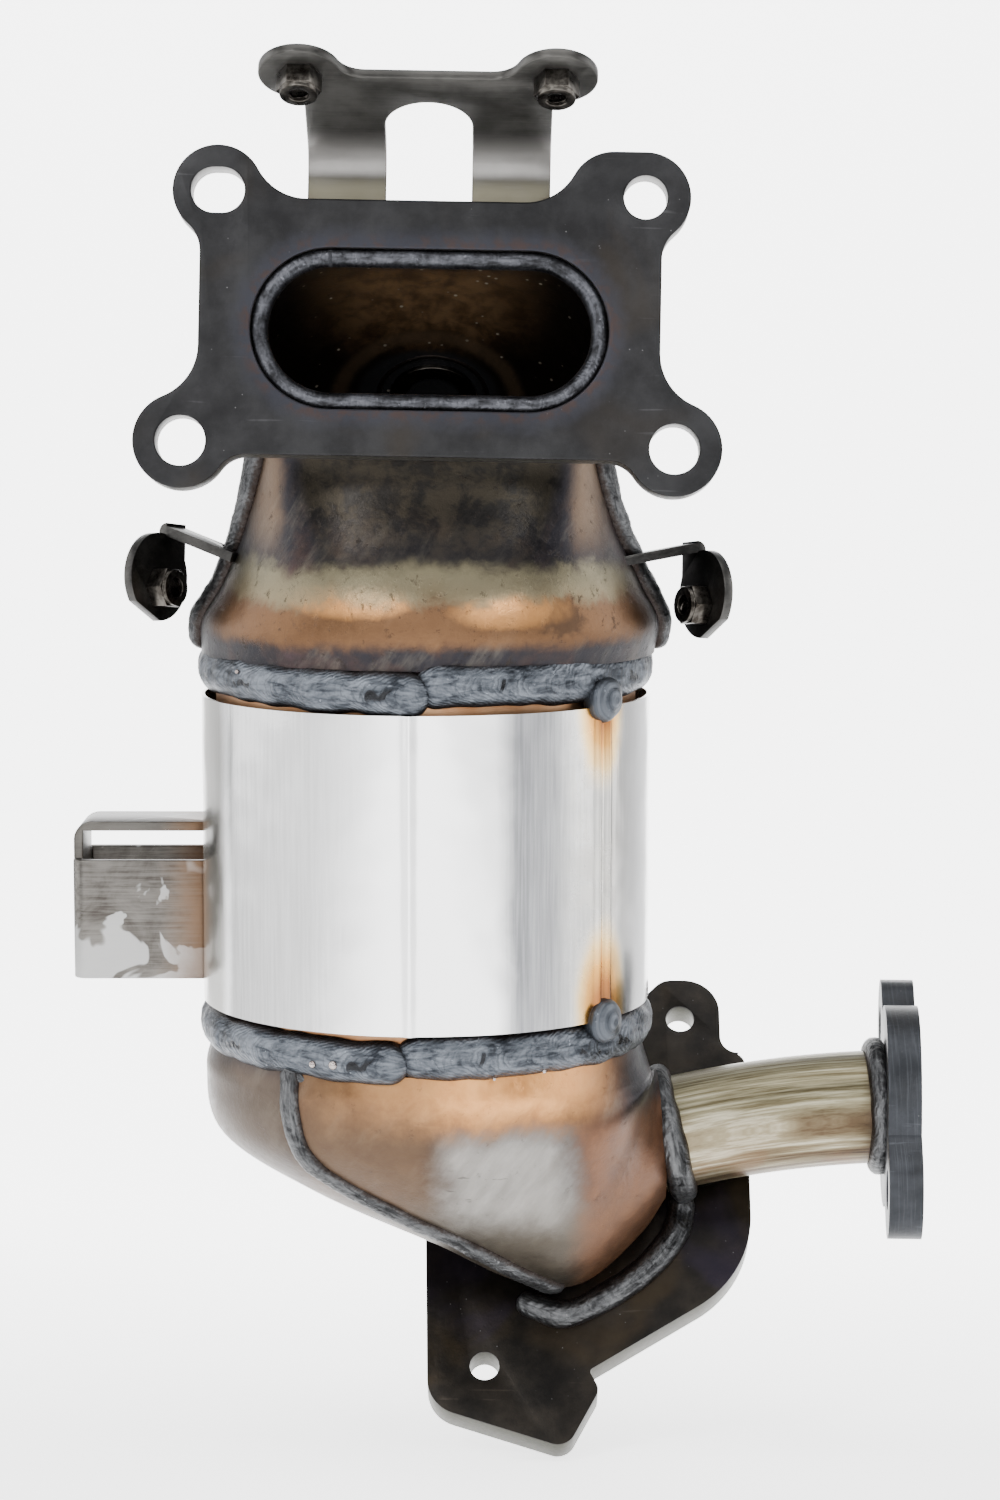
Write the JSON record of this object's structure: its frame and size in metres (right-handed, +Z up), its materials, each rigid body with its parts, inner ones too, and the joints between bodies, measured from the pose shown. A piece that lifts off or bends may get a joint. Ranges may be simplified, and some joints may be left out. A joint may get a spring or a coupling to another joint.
{
  "type": "catalytic converter",
  "caption": "Close-coupled exhaust catalytic converter with a racetrack-port head flange, pressed hood and cone, shielded can, bent outlet and brackets.",
  "frame": {"origin": "centre of the inlet port on the gasket face of the inlet flange", "axes": "-Y out of the gasket face towards the cylinder head, +Z up, +X along the flange towards the outlet side; the can hangs below, tilted 8 degrees from Z"},
  "size_m": [0.2327, 0.1663, 0.3576],
  "materials": {
    "flange_steel": "satin mill scale",
    "weld_metal": "rippled, oxidised",
    "tinted_stainless": "pressed sheet, heat tinted",
    "can_stainless": "rolled sheet, heat tinted",
    "mat_fibre": "matt",
    "cordierite": "matt ceramic",
    "bright_stainless": "bright satin",
    "pipe_stainless": "drawn tube, heat tinted",
    "outlet_flange_steel": "satin mill scale",
    "stay_steel": "blackened, heat tinted",
    "nut_steel": "dull machined",
    "strip_steel": "satin pressed"
  },
  "bodies": {
    "root": {"inlet_flange": "flange_steel", "inlet_port_weld": "weld_metal", "inlet_hood_front": "tinted_stainless", "inlet_hood_rear": "tinted_stainless", "hood_seam_weld_left": "weld_metal", "hood_seam_weld_right": "weld_metal", "upper_ring_weld": "weld_metal", "can_shell": "can_stainless", "support_mat": "mat_fibre", "ceramic_monolith": "cordierite", "heat_shield": "bright_stainless", "shield_tack_weld_upper": "weld_metal", "shield_tack_weld_lower": "weld_metal", "lower_ring_weld": "weld_metal", "outlet_cone_front": "tinted_stainless", "outlet_cone_rear": "tinted_stainless", "cone_seam_weld": "weld_metal", "outlet_pipe": "pipe_stainless", "pipe_collar_weld": "weld_metal", "pipe_flange_weld": "weld_metal", "outlet_flange": "outlet_flange_steel", "stay_plate": "stay_steel", "stay_plate_weld": "weld_metal", "sensor_boss": "nut_steel", "sensor_boss_weld": "weld_metal", "shield_bracket_top": "strip_steel", "top_nut_left": "nut_steel", "top_nut_right": "nut_steel", "side_bracket_left": "strip_steel", "side_bracket_right": "strip_steel", "side_nut_left": "nut_steel", "side_nut_right": "nut_steel", "harness_bracket": "strip_steel"}
  },
  "joints": []
}
